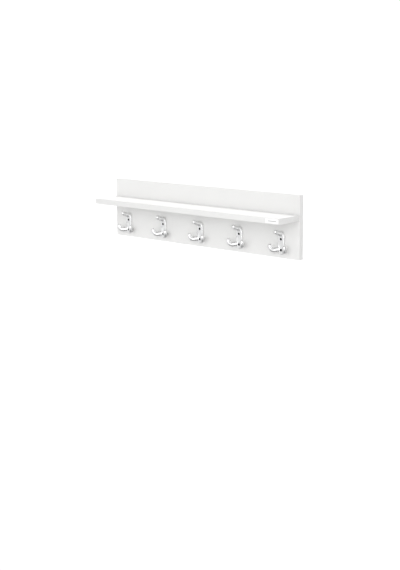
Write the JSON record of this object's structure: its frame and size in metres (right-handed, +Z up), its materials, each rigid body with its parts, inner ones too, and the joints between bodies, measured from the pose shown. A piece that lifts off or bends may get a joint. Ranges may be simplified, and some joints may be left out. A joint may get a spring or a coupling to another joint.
{
  "type": "wall hook rack",
  "caption": "White laminated wall rack with a shelf and a row of bright metal triple coat hooks under it, hung from keyhole plates in its back.",
  "frame": {"origin": "centre of the back panel's rear face, which lies against the wall", "axes": "+X along the wall, +Y into the wall, +Z up; the shelf and hooks face -Y"},
  "size_m": [0.8, 0.1182, 0.2],
  "materials": {
    "white_laminate": "fine satin melamine on chipboard",
    "white_edge_band": "satin",
    "bright_chrome": "bright, slightly satin",
    "black_screw": "black phosphate",
    "zinc_screw": "bright zinc plate",
    "zinc_plate": "zinc plate",
    "beech": "raw beech",
    "label_white": "coated film, blank"
  },
  "bodies": {
    "root": {"back_panel": "white_laminate", "panel_band_top": "white_edge_band", "panel_band_bottom": "white_edge_band", "panel_band_left": "white_edge_band", "panel_band_right": "white_edge_band", "shelf_board": "white_laminate", "shelf_band_front": "white_edge_band", "shelf_band_left": "white_edge_band", "shelf_band_right": "white_edge_band", "shelf_label": "label_white", "hook_1": "bright_chrome", "hook_2": "bright_chrome", "hook_3": "bright_chrome", "hook_4": "bright_chrome", "hook_5": "bright_chrome", "hook_screw_1_low": "black_screw", "hook_screw_2_low": "black_screw", "hook_screw_3_low": "black_screw", "hook_screw_4_low": "black_screw", "hook_screw_5_low": "black_screw", "hook_screw_1_high": "black_screw", "hook_screw_2_high": "black_screw", "hook_screw_3_high": "black_screw", "hook_screw_4_high": "black_screw", "hook_screw_5_high": "black_screw", "confirmat_1": "zinc_screw", "confirmat_2": "zinc_screw", "confirmat_3": "zinc_screw", "confirmat_4": "zinc_screw", "dowel_1": "beech", "dowel_2": "beech", "dowel_3": "beech", "hanger_left": "zinc_plate", "hanger_right": "zinc_plate", "hanger_screw_1": "black_screw", "hanger_screw_2": "black_screw", "hanger_screw_3": "black_screw", "hanger_screw_4": "black_screw"}
  },
  "joints": []
}
